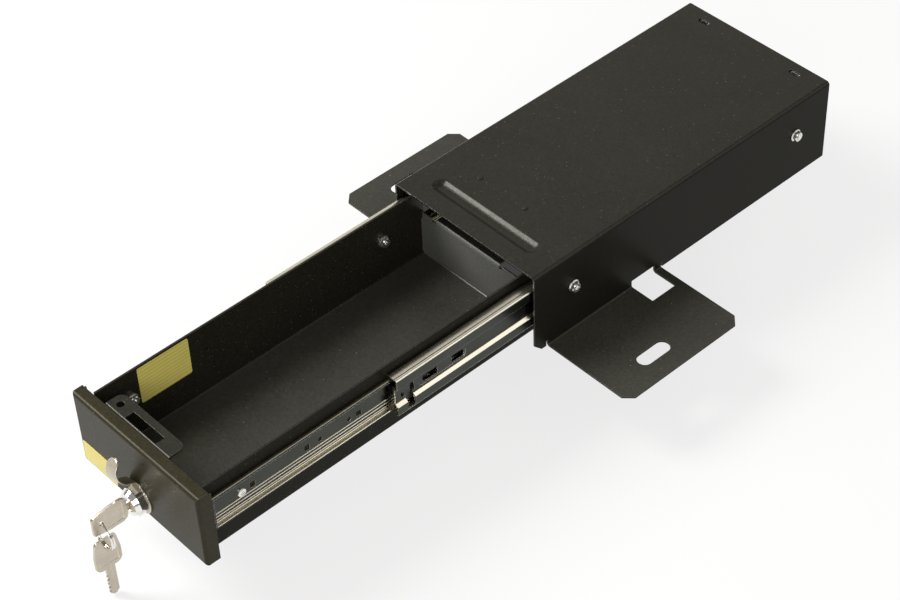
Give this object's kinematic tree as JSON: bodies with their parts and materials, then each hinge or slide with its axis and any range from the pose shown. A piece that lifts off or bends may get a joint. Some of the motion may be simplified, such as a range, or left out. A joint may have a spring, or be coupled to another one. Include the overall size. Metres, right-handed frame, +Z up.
{
  "type": "under-seat security drawer",
  "caption": "Shallow steel housing with two bolt-down side flanges and a lockable full-extension drawer, shown open, with keys in its cam lock.",
  "frame": {"origin": "midway between the centres of the two mounting slots, on the underside of the side flanges", "axes": "+Y from the front of the drawer to its back, +Z up away from the flange undersides, +X to the right seen from the front"},
  "size_m": [0.3096, 0.6568, 0.1268],
  "materials": {
    "powder_coat": "semi-gloss black powder coat with a fine texture",
    "zinc_steel": "bright zinc plating",
    "nickel": "satin nickel plating",
    "chrome": "polished",
    "brass": "plain",
    "buffer_rubber": "matte",
    "lever_plastic": "moulded",
    "label": "blank yellow film"
  },
  "bodies": {
    "housing": {"housing_shell": "powder_coat", "rear_baffle": "powder_coat", "strike_plate": "zinc_steel", "strike_rivets": "powder_coat", "left_cabinet_member": "zinc_steel", "right_cabinet_member": "zinc_steel", "slide_buffers": "buffer_rubber", "housing_screws": "zinc_steel", "housing_nuts": "zinc_steel"},
    "left_outer_cage_set": {"left_outer_cage": "zinc_steel", "left_outer_balls": "chrome"},
    "right_outer_cage_set": {"right_outer_cage": "zinc_steel", "right_outer_balls": "chrome"},
    "left_middle": {"left_middle_member": "zinc_steel"},
    "right_middle": {"right_middle_member": "zinc_steel"},
    "left_inner_cage_set": {"left_inner_cage": "zinc_steel", "left_inner_balls": "chrome"},
    "right_inner_cage_set": {"right_inner_cage": "zinc_steel", "right_inner_balls": "chrome"},
    "drawer": {"drawer_tray": "powder_coat", "drawer_back": "powder_coat", "latch_guide": "powder_coat", "front_panel": "powder_coat", "panel_studs": "zinc_steel", "panel_nuts": "zinc_steel", "left_drawer_member": "zinc_steel", "right_drawer_member": "zinc_steel", "release_levers": "lever_plastic", "drawer_screws": "zinc_steel", "drawer_nuts": "zinc_steel", "finger_pull": "nickel", "lock_body": "chrome", "lock_nut": "zinc_steel", "front_label": "label", "inner_label": "label"},
    "lock_core": {"lock_plug": "nickel", "lock_wafers": "brass", "latch_cam": "zinc_steel", "cam_screw": "zinc_steel"},
    "key": {"lock_key": "nickel"},
    "ring": {"key_ring": "chrome"},
    "spare": {"spare_key": "nickel"}
  },
  "joints": [
    {"name": "drawer_slide", "type": "slide", "parent": "housing", "child": "drawer", "axis": [0, 1, 0], "range_m": [0, 0.3036]},
    {"name": "left_middle_slide", "type": "slide", "parent": "housing", "child": "left_middle", "axis": [0, 1, 0], "range_m": [0, 0.147]},
    {"name": "right_middle_slide", "type": "slide", "parent": "housing", "child": "right_middle", "axis": [0, 1, 0], "range_m": [0, 0.147]},
    {"name": "left_outer_cage_slide", "type": "slide", "parent": "housing", "child": "left_outer_cage_set", "axis": [0, 1, 0], "range_m": [0, 0.0735]},
    {"name": "right_outer_cage_slide", "type": "slide", "parent": "housing", "child": "right_outer_cage_set", "axis": [0, 1, 0], "range_m": [0, 0.0735]},
    {"name": "left_inner_cage_slide", "type": "slide", "parent": "housing", "child": "left_inner_cage_set", "axis": [0, 1, 0], "range_m": [0, 0.2253]},
    {"name": "right_inner_cage_slide", "type": "slide", "parent": "housing", "child": "right_inner_cage_set", "axis": [0, 1, 0], "range_m": [0, 0.2253]},
    {"name": "lock_turn", "type": "hinge", "parent": "drawer", "child": "lock_core", "pos_m": [-0.001, -0.341, 0.02], "axis": [0, 1, 0], "range_deg": [0, 90]},
    {"name": "key_pull", "type": "slide", "parent": "lock_core", "child": "key", "axis": [0, -1, 0], "range_m": [0, 0.03]},
    {"name": "ring_swing", "type": "hinge", "parent": "key", "child": "ring", "pos_m": [-0.001, -0.39175, 0.02], "axis": [1, 0, 0], "range_deg": [-80, 20]},
    {"name": "spare_swing", "type": "hinge", "parent": "ring", "child": "spare", "pos_m": [-0.001, -0.39175, -0.003], "axis": [1, 0, 0], "range_deg": [-60, 60]}
  ],
  "couplings": [
    {"joint": "left_middle_slide", "follows": "drawer_slide", "ratio": 0.484},
    {"joint": "right_middle_slide", "follows": "drawer_slide", "ratio": 0.484},
    {"joint": "left_outer_cage_slide", "follows": "drawer_slide", "ratio": 0.242},
    {"joint": "right_outer_cage_slide", "follows": "drawer_slide", "ratio": 0.242},
    {"joint": "left_inner_cage_slide", "follows": "drawer_slide", "ratio": 0.742},
    {"joint": "right_inner_cage_slide", "follows": "drawer_slide", "ratio": 0.742}
  ]
}
